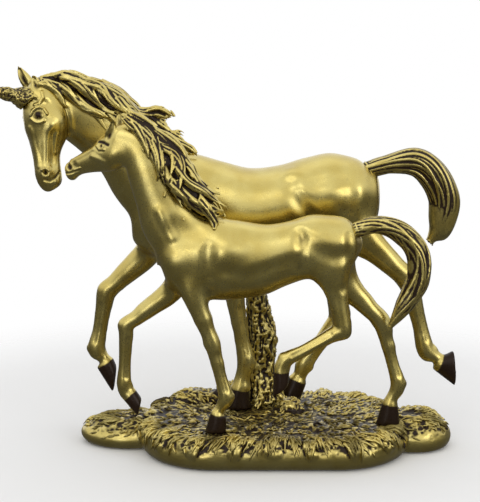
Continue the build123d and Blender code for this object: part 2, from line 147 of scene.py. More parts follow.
# Modelling helpers
def deselect():
    if bpy.context.object and bpy.context.object.mode != "OBJECT":
        bpy.ops.object.mode_set(mode="OBJECT")
    bpy.ops.object.select_all(action="DESELECT")


def pick(obj):
    deselect()
    obj.select_set(True)
    bpy.context.view_layer.objects.active = obj


def applied(obj, kind, **settings):
    pick(obj)
    bpy.ops.object.modifier_add(type=kind)
    modifier = obj.modifiers[-1]
    for key, value in settings.items():
        setattr(modifier, key, value)
    bpy.ops.object.modifier_apply(modifier=modifier.name)


def twinOf(names):
    # one mesh made of copies of CAD nodes
    deselect()
    for name in names:
        twin = frame["nodes"][name].copy()
        twin.data = twin.data.copy()
        twin.parent = None
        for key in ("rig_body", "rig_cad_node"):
            del twin[key]
        bpy.context.collection.objects.link(twin)
        twin.select_set(True)
        bpy.context.view_layer.objects.active = twin
    bpy.ops.object.join()
    obj = bpy.context.object
    obj.data.materials.clear()
    bpy.ops.object.mode_set(mode="EDIT")
    bpy.ops.mesh.select_all(action="SELECT")
    bpy.ops.mesh.remove_doubles(threshold=1e-6)
    bpy.ops.object.mode_set(mode="OBJECT")
    return obj


def refine(obj, inside):
    # splits the faces whose middles pass a test
    pick(obj)
    count = len(obj.data.polygons)
    middle = np.empty(count * 3, np.float32)
    obj.data.polygons.foreach_get("center", middle)
    chosen = inside(middle.reshape(-1, 3).astype(float) / mm)
    bpy.ops.object.mode_set(mode="EDIT")
    bpy.ops.mesh.select_mode(type="FACE")
    bpy.ops.mesh.select_all(action="DESELECT")
    bpy.ops.object.mode_set(mode="OBJECT")
    obj.data.polygons.foreach_set("select", chosen)
    bpy.ops.object.mode_set(mode="EDIT")
    bpy.ops.mesh.subdivide(number_cuts=1, smoothness=0)
    bpy.ops.object.mode_set(mode="OBJECT")


def treeOf(obj):
    return BVHTree.FromObject(obj, bpy.context.evaluated_depsgraph_get())


def sightLine(px, py):
    # ray from the camera through a pixel of the photograph
    pitch = math.radians(photoView["pitch"])
    x = (px - photoView["middle"][0]) / photoView["focus"]
    y = (photoView["middle"][1] - py) / photoView["focus"]
    ray = Vector((x, math.cos(pitch) + y * math.sin(pitch), y * math.cos(pitch) - math.sin(pitch)))
    return Vector(photoView["place"]) * mm, ray.normalized()


def traced(tree, pixels, step=1.5):
    # a line drawn on the photograph, laid on a surface
    points = []
    pixels = [np.array(p, float) for p in pixels]
    steps = [pixels[0]]
    for start, end in zip(pixels, pixels[1:]):
        parts = max(1, int(np.linalg.norm(end - start) / step))
        steps += [start + (end - start) * i / parts for i in range(1, parts + 1)]
    for px, py in steps:
        spot, _, _, _ = tree.ray_cast(*sightLine(px, py))
        if spot:
            points.append(np.array(spot) / mm)
    return np.array(points) if points else np.empty((0, 3))


def reachOf(co, path, reach):
    # vertices near a line and how strongly a round tool of that reach takes them
    near = np.flatnonzero(((co > path.min(0) - 2 * reach) & (co < path.max(0) + 2 * reach)).all(1))
    spots = co[near]
    best = np.linalg.norm(spots - path[0], axis=1)
    for start, end in zip(path, path[1:]):
        run = end - start
        share = np.clip((spots - start) @ run / max(run @ run, 1e-9), 0, 1)
        best = np.minimum(best, np.linalg.norm(spots - start - share[:, None] * run, axis=1))
    return near, np.clip(1 - (best / (2 * reach)) ** 2, 0, 1) ** 3


def mirrored(path, point, across):
    return path - 2 * ((path - point) @ across)[:, None] * across


def sculpt(obj, strokes, point, across, paint):
    # presses strokes into the near side and, mirrored, into the far side
    tree = treeOf(obj)
    co, normal = readMesh(obj)
    shift = np.zeros_like(co)
    for pixels, reach, lift, washAndShade in strokes:
        path = traced(tree, pixels)
        if not len(path):
            print("a stroke missed", pixels[0])
            continue
        for line in (path, mirrored(path, point, across)):
            near, weight = reachOf(co, line, reach)
            shift[near] += normal[near] * (weight * lift)[:, None]
            paint[near] = np.maximum(paint[near], weight * washAndShade)
    writeMesh(obj, co + shift)
    return paint


def boxed(co):
    # keeps rough ground within the solids' depth
    return np.clip(co, [-1000, cadBox[0][1] / mm + 0.1, 0], [1000, cadBox[1][1] / mm - 0.1, 1000])


# Finishes
def finish(name, plain, glow, dark, rough, metal=1.0):
    # metal paint under a dark wash that sits in the fine hollows; the same dark colour is also painted shade
    # in the wider hollows, creases and joins
    material = bpy.data.materials.new(name)
    material.use_nodes = True
    nodes, links = material.node_tree.nodes, material.node_tree.links
    nodes.clear()
    out = nodes.new("ShaderNodeOutputMaterial")
    shader = nodes.new("ShaderNodeBsdfPrincipled")
    links.new(shader.outputs[0], out.inputs[0])
    place = nodes.new("ShaderNodeTexCoord")
    washAndShade = nodes.new("ShaderNodeAttribute")
    washAndShade.attribute_name = "washAndShade"

    def cloud(size, detail):
        node = nodes.new("ShaderNodeTexNoise")
        node.inputs["Scale"].default_value = 1 / (size * mm)
        node.inputs["Detail"].default_value = detail
        links.new(place.outputs["Object"], node.inputs["Vector"])
        return node.outputs["Fac"]

    def ranged(value, low, high, first, last):
        node = nodes.new("ShaderNodeMapRange")
        for socket, number in zip(node.inputs[1:5], (low, high, first, last)):
            socket.default_value = number
        links.new(value, node.inputs[0])
        return node.outputs[0]

    def sums(kind, first, second):
        node = nodes.new("ShaderNodeMath")
        node.operation = kind
        node.use_clamp = True
        links.new(first, node.inputs[0])
        links.new(second, node.inputs[1])
        return node.outputs[0]

    def blended(share, first, second):
        node = nodes.new("ShaderNodeMix")
        node.data_type = "RGBA"
        links.new(share, node.inputs["Factor"])
        for socket, colour in ((node.inputs[6], first), (node.inputs[7], second)):
            if isinstance(colour, tuple):
                socket.default_value = (*colour, 1)
            else:
                links.new(colour, socket)
        return node.outputs[2]

    broken = sums("MULTIPLY", washAndShade.outputs["Fac"], ranged(cloud(1.6, 3), 0.3, 0.6, 0.75, 1.0))
    broken = ranged(broken, 0.12, 0.62, 0, 1)
    sheen = blended(ranged(cloud(14, 2), 0.35, 0.65, 0, 1), plain, glow)
    links.new(blended(broken, sheen, dark), shader.inputs["Base Color"])
    links.new(ranged(broken, 0.35, 1.0, metal, 0.25 * metal), shader.inputs["Metallic"])
    speckle = ranged(cloud(0.9, 4), 0.3, 0.7, rough - 0.05, rough + 0.07)
    links.new(speckle, shader.inputs["Roughness"])
    links.new(ranged(broken, 0.2, 0.8, 0.6 * metal, 0.03 * metal), shader.inputs["Coat Weight"])
    shader.inputs["Specular IOR Level"].default_value = 0.2
    shader.inputs["Coat IOR"].default_value = 1.9
    shader.inputs["Coat Roughness"].default_value = 0.26
    bump = nodes.new("ShaderNodeBump")
    bump.inputs["Strength"].default_value = 0.12
    bump.inputs["Distance"].default_value = 0.25 * mm
    links.new(cloud(0.7, 3), bump.inputs["Height"])
    links.new(bump.outputs[0], shader.inputs["Normal"])
    return material


# the dark colour is the antique wash in fine hollows and painted shade in the wider hollows and creases
goldTone = {"plain": (0.56, 0.43, 0.085), "glow": (0.64, 0.52, 0.14), "dark": (0.018, 0.009, 0.004)}
goldSatin = finish("goldSatin", **goldTone, rough=0.30)
hairWashShade = finish("hairWashShade", **goldTone, rough=0.34)


def complete(obj, name, nodes, material, washAndShade):
    # a finished piece: its wash and painted shade, its finish, and its place in the group
    obj.name = name
    obj.data.name = name
    storeValue(obj, "washAndShade", washAndShade)
    obj.data.materials.clear()
    obj.data.materials.append(material)
    pick(obj)
    bpy.ops.object.shade_smooth()
    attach(obj, "root")
    if nodes:
        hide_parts(*nodes)
    print(name, len(obj.data.polygons), "faces")


# Mare: the torso, neck, head and legs are one smooth casting.
# A stroke is a line on the photograph, the tool's reach, its lift and its wash.
mare = {
    "nodes": ["mare_torso", "mare_neck", "mare_left_foreleg", "mare_right_foreleg", "mare_left_hind_leg",
              "mare_right_hind_leg"],
    "voxel": 1.2,
    "middle": (0.0, 28.0, 0.0),
    "poll": (-146.0, 9.0, 237.0),
    "face": (0.10, -0.13, -0.986),
    "cheek": (0.47, -0.88, 0.149),
    "headReach": 26,
    "joins": [((-75, 28, 165), 34), ((-45, 17, 128), 22), ((-76, 40, 125), 22), ((58, 17, 150), 26),
              ((46, 40, 142), 26), ((-138, 12, 228), 18),
              ((26, 9, 169), 17), ((26, 47, 169), 17), ((-52, 9, 158), 16)],
    "ears": [((-150, 15, 233), (-159.5, 16, 249), (-0.33, -0.94, -0.13)),
             ((-141, 4, 229), (-148, 3, 244), (-0.28, -0.92, -0.19))],
    "earDepth": 1.8,
    "hooves": [((-15.5, 15.5, 34), (-26, 15.5, 20), (-8, 15.5, 20)),
               ((-109, 40.5, 45), (-103.5, 40.5, 23), (-101, 40.5, 42)),
               ((118, 15.5, 52), (129.3, 15.5, 35), (127.5, 15.5, 60)),
               ((24.5, 40.5, 33), (11, 40.5, 20), (27, 40.5, 20))],
    "shins": [((-19.5, 15.5, 99), (-11.5, 15.5, 50.5)), ((-107, 40.5, 95), (-114.5, 40.5, 54)),
              ((96, 15.5, 108), (109, 15.5, 60)), ((53, 40.5, 77), (29, 40.5, 44))],
    "shin": 5.1,
    "body": [
        ([(222, 168), (215, 195), (205, 215)], 7, -1.0, 0),
        ([(291, 172)], 5, 1.0, 0),
        ([(289, 183), (299, 200), (310, 217)], 4.5, -1.5, 0),
        ([(297, 180), (312, 183), (328, 182), (345, 176)], 4, -0.8, 0),
        ([(330, 193)], 7, 0.8, 0),
        ([(349, 182), (352, 195), (349, 210)], 4, -0.8, 0),
        ([(362, 190)], 7, 0.8, 0),
    ],
    "head": [
        ([(58.75, 121)], 7, 2.0, 0),
        ([(66, 109), (68.5, 120), (69.4, 132.5)], 1.5, -1.0, 0.35),
        ([(50, 125), (47, 142.5), (47.5, 165)], 2.5, 0.8, 0),
        ([(53, 135), (53.7, 150), (52.5, 162.5)], 3, -1.2, 0),
        ([(56, 135), (55.6, 145), (56, 152)], 1.5, 0.5, 0),
        ([(30, 128), (34, 145), (39, 166)], 1.5, 0.5, 0),
        ([(38, 115)], 5, 1.6, 0),
        ([(46, 104)], 2.5, -0.8, 0),
        ([(24.5, 92.5), (30, 94), (35.6, 97)], 0.9, 1.0, 0),
        ([(42, 92), (43, 97.5), (38.7, 104), (35, 105)], 0.9, 1.0, 0),
        ([(31, 99), (36, 101)], 1.2, -0.6, 0.3),
        ([(44, 172)], 4, 1.2, 0.3),
        ([(56, 183)], 3, 0.8, 0.1),
    ],
    "fine": [(38, 115), (45, 173), (55, 178)],
    "eye": [
        ([(38, 115)], 3.0, -1.0, 0.9),
        ([(38.5, 115)], 2.0, 1.4, 0),
        ([(38.5, 115)], 0.8, 0.2, 0.95),
        ([(30.6, 115.5), (32.5, 111), (36, 108), (40, 107.3), (43.7, 108.7), (47, 113.7)], 0.9, 0.9, 0),
        ([(31, 118.7), (34, 121.4), (37.5, 122.5), (41, 122), (43.7, 120.6)], 0.9, 0.7, 0),
        ([(45.5, 172.5)], 1.4, -2.4, 0.95),
        ([(42, 170), (45, 168.5), (48.5, 171), (48.5, 176)], 0.8, 0.7, 0),
        ([(44.5, 180), (50, 181), (56, 177), (60, 172)], 0.8, -0.9, 0.7),
    ],
}

foal = {
    "nodes": ["foal_torso", "foal_neck", "foal_left_foreleg", "foal_right_foreleg", "foal_left_hind_leg",
              "foal_right_hind_leg"],
    "voxel": 1.0,
    "middle": (0.0, -28.0, 0.0),
    "poll": (-84.0, -26.0, 209.0),
    "face": (-0.84, 0.31, -0.45),
    "cheek": (-0.34, -0.94, 0.0),
    "headReach": 20,
    "joins": [((-58, -28, 148), 24), ((-47, -34, 116), 16), ((-57, -22, 110), 16), ((41, -34, 130), 20),
              ((45, -22, 124), 20), ((-82, -26, 204), 13)],
    "ears": [((-89, -22, 209), (-90.6, -21, 222), (-0.26, -0.965, 0.04)),
             ((-97, -26, 203), (-92.8, -30, 217.6), (-0.21, -0.96, -0.2))],
    "earDepth": 1.5,
    "hooves": [((-29, -36, 32), (-38, -36, 20), (-24, -36, 20)),
               ((-87, -20, 40), (-81.5, -20, 25), (-79, -20, 37)),
               ((10.5, -36, 60), (5, -36, 43), (15, -36, 51)),
               ((81.5, -20, 34), (72, -20, 20), (88, -20, 20))],
    "shins": [((-33, -36, 78), (-24.5, -36, 42)), ((-88, -20, 85.5), (-90.3, -20, 46)),
              ((49, -36, 87), (12.5, -36, 66)), ((75, -20, 88), (86, -20, 46))],
    "shin": 4.0,
    "body": [
        ([(160, 212), (166, 225), (172, 237)], 3, 0.9, 0),
        ([(174, 229), (183, 234), (190, 236)], 6, -1.0, 0),
        ([(172, 265)], 8, 1.4, 0),
        ([(226, 250)], 8, 1.6, 0),
        ([(209, 250), (208, 270), (211, 292)], 4, -0.9, 0),
        ([(211, 284)], 3, 0.6, 0),
        ([(224, 272), (245, 277), (268, 270), (290, 262)], 4, -0.9, 0),
        ([(299, 232), (302, 250), (300, 268)], 3.5, -1.4, 0.1),
        ([(300, 226)], 5, 1.0, 0),
        ([(305, 240), (320, 252), (335, 257), (345, 255)], 4.5, -1.2, 0),
        ([(312, 275)], 7, 1.5, 0),
        ([(350, 235), (352, 262), (345, 288)], 3, -1.1, 0),
    ],
    "head": [
        ([(112, 158)], 6, 1.2, 0),
        ([(66, 163), (80, 156), (93, 149)], 1.5, 0.6, 0),
        ([(74, 165.5)], 2, -0.8, 0.3),
        ([(69, 177)], 3, 0.6, 0),
        ([(101, 146)], 2.6, -0.8, 0.3),
        ([(92, 156), (104, 162)], 1.6, 0.7, 0),
    ],
    "fine": [(101, 146), (69, 167), (75, 172)],
    "eye": [
        ([(98.7, 141.5), (103, 142.5), (108, 145)], 0.9, -0.3, 1.0),
        ([(102, 146)], 1.1, 0.9, 0.85),
        ([(97, 146), (99.5, 149.5), (104, 149.5)], 0.8, 0.9, 0),
        ([(68, 165.5), (69.5, 168)], 1.3, -1.6, 1.0),
        ([(66, 173.5), (72, 172.5), (79, 170.5)], 0.7, -0.7, 0.6),
        ([(75, 170), (80, 168)], 0.7, 0.5, 0),
    ],
}


def unit(vector):
    vector = np.array(vector, float)
    return vector / np.linalg.norm(vector)


def press(co, normal, path, reach, lift, facing=None):
    # one stroke at given points, on all sides or only where the surface faces one way
    near, weight = reachOf(co, np.array(path, float), reach)
    push = normal[near]
    if facing is not None:
        weight = weight * np.clip(normal[near] @ facing * 2, 0, 1)
        push = np.tile(facing, (len(near), 1))
    co[near] += push * (weight * lift)[:, None]


# How both castings are worked: times of smoothing, and reach and lift of the tools
casting = {
    "smooth": 3,
    "joinSmooth": 70,
    "joinPull": 0.6,
    "joinEdge": 1.6,
    "earHold": 5,
    "earReach": 1.5,
    "earWash": 0.75,
    "hoofWash": 0.95,
    "fineReach": 8,
    "tendon": (1.3, -0.6),
    "kneecap": (3.0, 0.7),
    "fetlock": (2.4, 1.0),
}


def makeAnimal(kit):
    obj = twinOf(kit["nodes"])
    applied(obj, "REMESH", mode="VOXEL", voxel_size=kit["voxel"] * mm)
    co, _ = readMesh(obj)
    edges = readEdges(obj)
    weight = np.zeros(len(co))
    for spot, reach in kit["joins"]:
        away = np.linalg.norm(co - np.array(spot), axis=1)
        weight = np.maximum(weight, np.clip(casting["joinEdge"] - away / reach, 0, 1))
    for root, tip, _ in kit["ears"]:
        near, hold = reachOf(co, np.array([root, tip], float), casting["earHold"])
        weight[near] *= 1 - np.clip(3 * hold, 0, 1)
    co = relax(co, edges, casting["smooth"])
    co = relax(co, edges, casting["joinSmooth"], casting["joinPull"] * weight[:, None])
    writeMesh(obj, co)
    poll, face, cheek = np.array(kit["poll"]), unit(kit["face"]), unit(kit["cheek"])

    def onHead(spots):
        down = np.clip((spots - poll) @ face, -14, 90)
        return np.linalg.norm(spots - poll - face * down[:, None], axis=1) < kit["headReach"]

    refine(obj, onHead)
    paint = np.zeros(len(obj.data.vertices))
    paint = sculpt(obj, kit["body"], np.array(kit["middle"]), np.array([0, 1.0, 0]), paint)
    paint = sculpt(obj, kit["head"], poll, cheek, paint)
    tree = treeOf(obj)
    spots = np.vstack([traced(tree, [spot]) for spot in kit["fine"]])
    spots = np.vstack([spots, mirrored(spots, poll, cheek)])
    storeValue(obj, "paint", paint)

    def nearFine(faces):
        away = [np.linalg.norm(faces - spot, axis=1) for spot in spots]
        return np.min(away, axis=0) < casting["fineReach"]

    refine(obj, nearFine)
    paint = np.empty(len(obj.data.vertices), np.float32)
    obj.data.attributes["paint"].data.foreach_get("value", paint)
    obj.data.attributes.remove(obj.data.attributes["paint"])
    paint = sculpt(obj, kit["eye"], poll, cheek, paint.astype(float))
    co, normal = readMesh(obj)
    for base, tip, facing in kit["ears"]:
        base, tip, facing = np.array(base, float), np.array(tip, float), unit(facing)
        line = [base + (tip - base) * share + facing * 1.5 for share in (0.25, 0.5, 0.8)]
        press(co, normal, line, casting["earReach"], -kit["earDepth"], facing)
        near, weight = reachOf(co, np.array(line), 1.7)
        inner = weight * np.clip(normal[near] @ facing, 0, 1)
        paint[near] = np.maximum(paint[near], casting["earWash"] * inner)
    for (crown, toe, heel), (knee, ankle) in zip(kit["hooves"], kit["shins"]):
        crown, toe, heel = np.array(crown, float), np.array(toe, float), np.array(heel, float)
        knee, ankle = np.array(knee, float), np.array(ankle, float)
        downward = unit((toe + heel) / 2 - crown)
        depth = (co - crown) @ downward
        aside = np.linalg.norm(co - crown - depth[:, None] * downward, axis=1)
        wide = np.linalg.norm(toe - heel)
        edge = depth + 0.5 * grain(co, 2.5, 3)
        hoof = np.clip(edge / 1.2, 0, 1) * (aside < wide) * (depth < 2 * wide)
        paint = np.maximum(paint, casting["hoofWash"] * hoof)
        run = unit(ankle - knee)
        rear = unit((heel - toe) - ((heel - toe) @ run) * run)
        for sideways in (-1, 1):
            shift = rear * kit["shin"] * 0.4 + np.array([0, sideways * kit["shin"] * 0.85, 0])
            groove = [knee + (ankle - knee) * share + shift for share in (0.2, 0.5, 0.85)]
            press(co, normal, groove, *casting["tendon"])
        press(co, normal, [knee - rear * kit["shin"]], *casting["kneecap"])
        press(co, normal, [ankle + rear * kit["shin"] * 1.2], *casting["fetlock"])
    writeMesh(obj, co)
    return obj, paint


mareBody, marePaintAndShade = makeAnimal(mare)
# wider hollows, the creases and the joins between parts, are darkened as painted shade
marePaintAndShade = np.maximum(marePaintAndShade, np.clip(hollows(mareBody, 30) / 1.6, 0, 0.6))
foalBody, foalPaintAndShade = makeAnimal(foal)
foalPaintAndShade = np.maximum(foalPaintAndShade, np.clip(hollows(foalBody, 30) / 1.4, 0, 0.6))
print("animals shaped")


# Hair: locks swept along lines and cast together with the core of the mane or tail
strandRidges = 5
hairVoxel = 0.55


def smoothPath(points, step=1.1):
    points = np.array(points, float)
    ends = np.vstack([2 * points[0] - points[1], points, 2 * points[-1] - points[-2]])
    curve = []
    for a, b, c, d in zip(ends, ends[1:], ends[2:], ends[3:]):
        for t in np.linspace(0, 1, 12, endpoint=False):
            bend = (2 * a - 5 * b + 4 * c - d) * t**2
            twist = (3 * b - a - 3 * c + d) * t**3
            curve.append(b + 0.5 * ((c - a) * t + bend + twist))
    curve = np.array(curve + [points[-1]])
    runs = np.r_[0, np.cumsum(np.linalg.norm(np.diff(curve, axis=0), axis=1))]
    stops = np.linspace(0, runs[-1], max(5, int(runs[-1] / step)))
    return np.stack([np.interp(stops, runs, curve[:, k]) for k in range(3)], 1)


def sweepLock(bag, path, outward, wide, deep, ridges, phase):
    # one lock, ridged along its strands and thin at its tip
    sides = 24
    along = np.gradient(path, axis=0)
    along /= np.linalg.norm(along, axis=1)[:, None]
    across = np.cross(along, outward)
    across /= np.maximum(np.linalg.norm(across, axis=1), 1e-6)[:, None]
    outward = np.cross(across, along)
    share = np.linspace(0, 1, len(path))
    size = np.interp(share, [0, 0.1, 0.4, 0.75, 1], [0.6, 0.95, 1, 0.7, 0.1])
    turn = np.linspace(0, 2 * np.pi, sides, endpoint=False)
    ridge = 1 - 0.32 * (0.5 + 0.5 * np.cos(ridges * turn + phase)) ** 2
    sideways, upward = np.cos(turn) * ridge, np.sin(turn) * ridge
    ring = path[:, None] + across[:, None] * (wide * size)[:, None, None] * sideways[None, :, None]
    ring = ring + outward[:, None] * (deep * size)[:, None, None] * upward[None, :, None]
    first = sum(len(spots) for spots in bag["spots"])
    bag["spots"].append(ring.reshape(-1, 3))
    for i in range(len(path) - 1):
        for j in range(sides):
            k = (j + 1) % sides
            a, b = first + i * sides, first + (i + 1) * sides
            bag["faces"].append((a + j, a + k, b + k, b + j))
    bag["faces"].append(tuple(first + j for j in reversed(range(sides))))
    last = first + (len(path) - 1) * sides
    bag["faces"].append(tuple(last + j for j in range(sides)))


def castHair(bag, core, shrink):
    mesh = bpy.data.meshes.new("locks")
    mesh.from_pydata((np.vstack(bag["spots"]) * mm).tolist(), [], bag["faces"])
    locks = bpy.data.objects.new("locks", mesh)
    bpy.context.collection.objects.link(locks)
    obj = twinOf(core)
    co, normal = readMesh(obj)
    writeMesh(obj, co - normal * shrink)
    pick(locks)
    bpy.ops.object.mode_set(mode="EDIT")
    bpy.ops.mesh.select_all(action="SELECT")
    bpy.ops.mesh.normals_make_consistent(inside=False)
    bpy.ops.object.mode_set(mode="OBJECT")
    obj.select_set(True)
    bpy.context.view_layer.objects.active = obj
    bpy.ops.object.join()
    applied(obj, "REMESH", mode="VOXEL", voxel_size=hairVoxel * mm)
    co, _ = readMesh(obj)
    writeMesh(obj, relax(co, readEdges(obj), 1))
    return obj


def laid(tree, pixels, plane, lift):
    # a lock drawn on the photograph: on the carrier, or past its edge on an upright plane
    spots, outward = [], []
    for px, py in pixels:
        eye, ray = sightLine(px, py)
        spot, normal, _, _ = tree.ray_cast(eye, ray)
        if spot and abs(spot.y / mm - plane) < 30:
            spots.append(np.array(spot) / mm + np.array(normal) * lift)
            outward.append(np.array(normal))
        else:
            eye, ray = np.array(eye) / mm, np.array(ray)
            spots.append(eye + ray * (plane - eye[1]) / ray[1])
            outward.append(np.array([0, -1.0, 0]))
    return np.array(spots), np.array(outward)


def snapped(tree, spots, lift):
    points, outward = [], []
    for spot in spots:
        near, normal, _, away = tree.find_nearest(Vector(spot) * mm)
        if away / mm < 9:
            points.append(np.array(near) / mm + np.array(normal) * lift)
        else:
            points.append(spot)
        outward.append(np.array(normal))
    return np.array(points), np.array(outward)


mareMane = {
    "core": ["mare_mane"],
    "shrink": 1.2,
    "plane": 20,
    "middle": ((-160, 5), (-140, 12), (-110, 20), (-75, 27), (-40, 28)),
    "wide": 3.0,
    "deep": 2.3,
    "lift": 0.8,
    "locks": [
        [(36, 82), (50, 79), (62, 76), (78, 82), (91, 89), (100, 101)],
        [(53, 77), (72, 78), (90, 85.5), (107, 89), (119, 96), (131, 107)],
        [(39, 84), (55, 85), (72, 92), (85, 105), (97, 113), (110, 120)],
        [(42, 82), (54, 91), (62, 101), (67, 107)],
        [(47, 79), (62, 87), (75, 100), (87, 110), (102, 119)],
        [(65, 77), (82, 87), (95, 100), (107, 109), (117, 112)],
        [(82, 80), (100, 87), (110, 100), (120, 109), (130, 115)],
        [(100, 85), (115, 92), (125, 101), (135, 110), (147, 117)],
        [(115, 95), (125, 108), (140, 122), (152, 138), (160, 150)],
        [(116, 96), (128, 109), (140, 113), (150, 110), (158, 109), (166, 112), (173, 117)],
        [(126, 110), (138, 116), (150, 116), (160, 116), (168, 120)],
        [(140, 117), (155, 125), (165, 132), (175, 135), (185, 141)],
        [(150, 122), (162, 127), (170, 134), (180, 144)],
        [(162, 132), (177, 141), (190, 148), (198, 157)],
        [(150, 130), (165, 142), (178, 152), (188, 165)],
    ],
}
foalMane = {
    "core": ["foal_mane"],
    "shrink": 1.2,
    "plane": -31,
    "middle": ((-100, -26), (-80, -27), (-60, -28), (-20, -28)),
    "wide": 2.7,
    "deep": 2.3,
    "lift": 0.9,
    "locks": [
        [(125, 116), (135, 125), (147, 136), (155, 150), (160, 165), (164, 180)],
        [(129, 120), (140, 132), (147, 147), (150, 157)],
        [(135, 122), (155, 132), (167, 147), (172, 160), (170, 175)],
        [(147, 127), (165, 137), (180, 150), (187, 165), (192, 177)],
        [(160, 145), (175, 155), (182, 170), (180, 185), (172, 192)],
        [(172, 150), (185, 162), (195, 180), (207, 190), (221, 195)],
        [(175, 167), (187, 182), (202, 192), (215, 200), (227, 207)],
        [(172, 180), (182, 192), (195, 202), (210, 210), (225, 213)],
        [(175, 190), (185, 200), (192, 210)],
        [(197, 200), (207, 212), (215, 225), (215, 231)],
        [(150, 137), (157, 155), (160, 170), (156, 182)],
        [(128, 112), (140, 118), (152, 126), (162, 136)],
        [(158, 131), (172, 146), (184, 158), (193, 168)],
    ],
}


def makeMane(kit, body, seed):
    dice = np.random.default_rng(seed)
    carrier = twinOf(kit["core"])
    bag = {"spots": [], "faces": []}
    tree = treeOf(body)
    coreTree = treeOf(carrier)
    xs, ys = zip(*kit["middle"])
    for pixels in kit["locks"]:
        for strand in range(4):
            shift = dice.uniform(-3.2, 3.2, 2) if strand else np.zeros(2)
            sway = dice.uniform(-1.6, 1.6, (len(pixels), 2)) if strand else np.zeros((len(pixels), 2))
            line = np.array(pixels, float) + shift + sway
            scale = 1.0 if strand == 0 else dice.uniform(0.42, 0.75)
            front, outward = laid(coreTree, line, kit["plane"], kit["lift"] + 0.6 * strand / 3)
            other, _ = laid(tree, line, kit["plane"], kit["lift"])
            lean = front[:, 1] > other[:, 1]
            front[lean] = other[lean]
            back = front.copy()
            back[:, 1] = 2 * np.interp(front[:, 0], xs, ys) - front[:, 1]
            back, backOut = snapped(tree, back, kit["lift"])
            for spots, normals in ((front, outward), (back, backOut)):
                path = smoothPath(spots)
                shares = np.linspace(0, 1, len(spots))
                stops = np.linspace(0, 1, len(path))
                facing = np.stack([np.interp(stops, shares, normals[:, k]) for k in range(3)], 1)
                wide, deep = kit["wide"] * scale, kit["deep"] * scale
                sweepLock(bag, path, facing, wide, deep, strandRidges, dice.uniform(0, 6.28))
    bpy.data.objects.remove(carrier)
    return castHair(bag, kit["core"], kit["shrink"])


mareManePiece = makeMane(mareMane, mareBody, 4)
foalManePiece = makeMane(foalMane, foalBody, 9)

mareTail = {
    "core": ["mare_tail"],
    "shrink": 1.4,
    "line": [(66, 29, 179), (87, 31, 184), (103, 32, 184), (115, 33, 173), (121.5, 34, 157), (119.5, 34, 141),
             (112, 33, 129)],
    "deep": [5, 5.5, 10, 11.5, 12, 10, 3],
    "wide": [5, 6, 8, 9, 9, 8, 3],
    "locks": 16,
    "turns": (0.12, 0.12),
    "lock": 0.36,
}
foalTail = {
    "core": ["foal_tail"],
    "shrink": 1.4,
    "line": [(53, -28, 147), (70, -28, 151.5), (84, -29, 147.5), (95, -30, 135), (96, -31, 119),
             (88, -32, 102), (78, -33, 86)],
    "deep": [4.5, 5, 7, 8, 8.5, 7, 2],
    "wide": [4.5, 5.5, 7, 7.5, 7.5, 6.5, 2],
    "locks": 12,
    "turns": (0.5, -0.4),
    "lock": 0.42,
}


def makeTail(kit, seed):
    dice = np.random.default_rng(seed)
    bag = {"spots": [], "faces": []}
    middle = smoothPath(kit["line"], 1.6)
    share = np.linspace(0, 1, len(middle))
    stops = np.linspace(0, 1, len(kit["line"]))
    deep, wide = np.interp(share, stops, kit["deep"]), np.interp(share, stops, kit["wide"])
    along = np.gradient(middle, axis=0)
    along /= np.linalg.norm(along, axis=1)[:, None]
    side = np.tile([0, 1.0, 0], (len(middle), 1))
    up = np.cross(side, along)
    for i in range(kit["locks"]):
        turns = kit["turns"][i % 2]
        start = 2 * math.pi * i / kit["locks"] + dice.uniform(-0.15, 0.15)
        wave = dice.uniform(0, 6.28)
        angle = start + 2 * math.pi * turns * share + 0.25 * np.sin(5 * share + wave)
        stop = int(len(middle) * dice.uniform(0.86, 1.0))
        out = np.cos(angle)[:, None] * up * deep[:, None] + np.sin(angle)[:, None] * side * wide[:, None]
        path = middle + out * 0.74
        size = (deep + wide).mean() / 2 * kit["lock"] * dice.uniform(0.8, 1.15)
        sweepLock(bag, path[:stop], out[:stop], size * 1.1, size * 0.8, strandRidges, dice.uniform(0, 6.28))
    return castHair(bag, kit["core"], kit["shrink"])


mareTailPiece = makeTail(mareTail, 2)
foalTailPiece = makeTail(foalTail, 5)
print("hair cast")

complete(mareBody, "mareBody", mare["nodes"], goldSatin, marePaintAndShade)
complete(foalBody, "foalBody", foal["nodes"], goldSatin, foalPaintAndShade)
hairPieces = [
    (mareManePiece, "mareMane", "mare_mane", 0.5),
    (foalManePiece, "foalMane", "foal_mane", 0.74),
    (mareTailPiece, "mareTail", "mare_tail", 0.68),
    (foalTailPiece, "foalTail", "foal_tail", 0.72),
]
for piece, name, node, washed in hairPieces:
    # darker hair overall, the wash in the strand grooves, and painted shade in the wider gaps between locks
    depth = washed + hollows(piece, 6) / 0.13 + hollows(piece, 30) / 0.9
    complete(piece, name, [node], hairWashShade, depth)

# Horn: rough, over the twist of the solid
horn = {"voxel": 0.45, "lumps": (0.35, 1.6), "grit": (0.2, 0.8), "washAndShade": 0.6}
hornPiece = twinOf(["mare_horn"])
applied(hornPiece, "REMESH", mode="VOXEL", voxel_size=horn["voxel"] * mm)
co, normal = readMesh(hornPiece)
lumps = horn["lumps"][0] * grain(co, horn["lumps"][1], 2)
grit = horn["grit"][0] * grain(co, horn["grit"][1], 5)
co += normal * (lumps + grit)[:, None]
writeMesh(hornPiece, co)
complete(hornPiece, "mareHorn", ["mare_horn"], hairWashShade,
         horn["washAndShade"] + hollows(hornPiece, 8) / 0.25)

